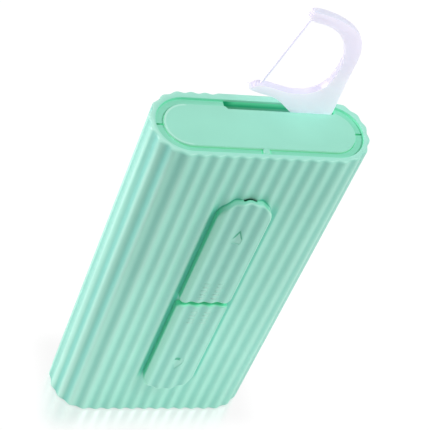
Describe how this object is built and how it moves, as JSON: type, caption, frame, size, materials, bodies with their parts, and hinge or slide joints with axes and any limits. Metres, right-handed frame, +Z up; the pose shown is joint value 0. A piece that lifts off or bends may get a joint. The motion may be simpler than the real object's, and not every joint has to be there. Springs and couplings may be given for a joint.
{
  "type": "floss pick case",
  "caption": "Slim fluted pocket case with a two-part slide button, a lift-out magazine and a floss pick standing out of its slot.",
  "frame": {"origin": "the middle of the case's flat base, on the seam between the two shells", "axes": "+Z up along the case to the slot, -Y out of the face with the buttons, +X to the right seen from that face"},
  "size_m": [0.0436, 0.0171, 0.1146],
  "materials": {
    "case_front": "satin moulded plastic, mint green",
    "case_rear": "satin moulded plastic, mint green",
    "plate": "satin moulded plastic, mint green",
    "magazine": "satin moulded plastic, mint green",
    "follower": "satin moulded plastic, mint green",
    "button_upper": "satin moulded plastic, mint green",
    "button_lower": "satin moulded plastic, mint green",
    "slide_plastic": "smooth moulded plastic, mint green",
    "spring_steel": "bright spring wire",
    "pick_plastic": "white moulded plastic, a little see-through",
    "floss_fibre": "white twisted fibre"
  },
  "bodies": {
    "case": {"front_shell": "case_front", "rear_shell": "case_rear", "return_spring": "spring_steel", "release_spring": "spring_steel"},
    "upper_push": {"upper_button": "button_upper", "push_slider": "slide_plastic", "push_yoke": "slide_plastic"},
    "lower_release": {"lower_button": "button_lower", "release_slide": "slide_plastic"},
    "magazine": {"top_plate": "plate", "magazine_frame": "magazine", "follower_spring_lower": "spring_steel", "follower_spring_upper": "spring_steel", "pick_2_handle": "pick_plastic", "pick_2_floss": "floss_fibre", "pick_3_handle": "pick_plastic", "pick_3_floss": "floss_fibre", "pick_4_handle": "pick_plastic", "pick_4_floss": "floss_fibre", "pick_5_handle": "pick_plastic", "pick_5_floss": "floss_fibre"},
    "follower": {"follower_plate": "follower"},
    "drawn_pick": {"pick_1_handle": "pick_plastic", "pick_1_floss": "floss_fibre"}
  },
  "joints": [
    {"name": "upper_button_slide", "type": "slide", "parent": "case", "child": "upper_push", "axis": [0, 0, 1], "range_m": [0, 0.008], "stiffness_N_per_m": 150, "springref_m": -0.004, "deforming": ["return_spring"]},
    {"name": "lower_button_slide", "type": "slide", "parent": "case", "child": "lower_release", "axis": [0, 0, 1], "range_m": [-0.005, 0], "stiffness_N_per_m": 120, "springref_m": 0.003, "deforming": ["release_spring"]},
    {"name": "magazine_lift", "type": "slide", "parent": "case", "child": "magazine", "axis": [0, 0, 1], "range_m": [0, 0.088]},
    {"name": "follower_push", "type": "slide", "parent": "magazine", "child": "follower", "axis": [0, 1, 0], "range_m": [-0.0004, 0], "stiffness_N_per_m": 200, "springref_m": 0.002, "deforming": ["follower_spring_lower", "follower_spring_upper"]},
    {"name": "pick_draw", "type": "slide", "parent": "case", "child": "drawn_pick", "axis": [0, 0, 1], "range_m": [-0.0205, 0.049]}
  ]
}
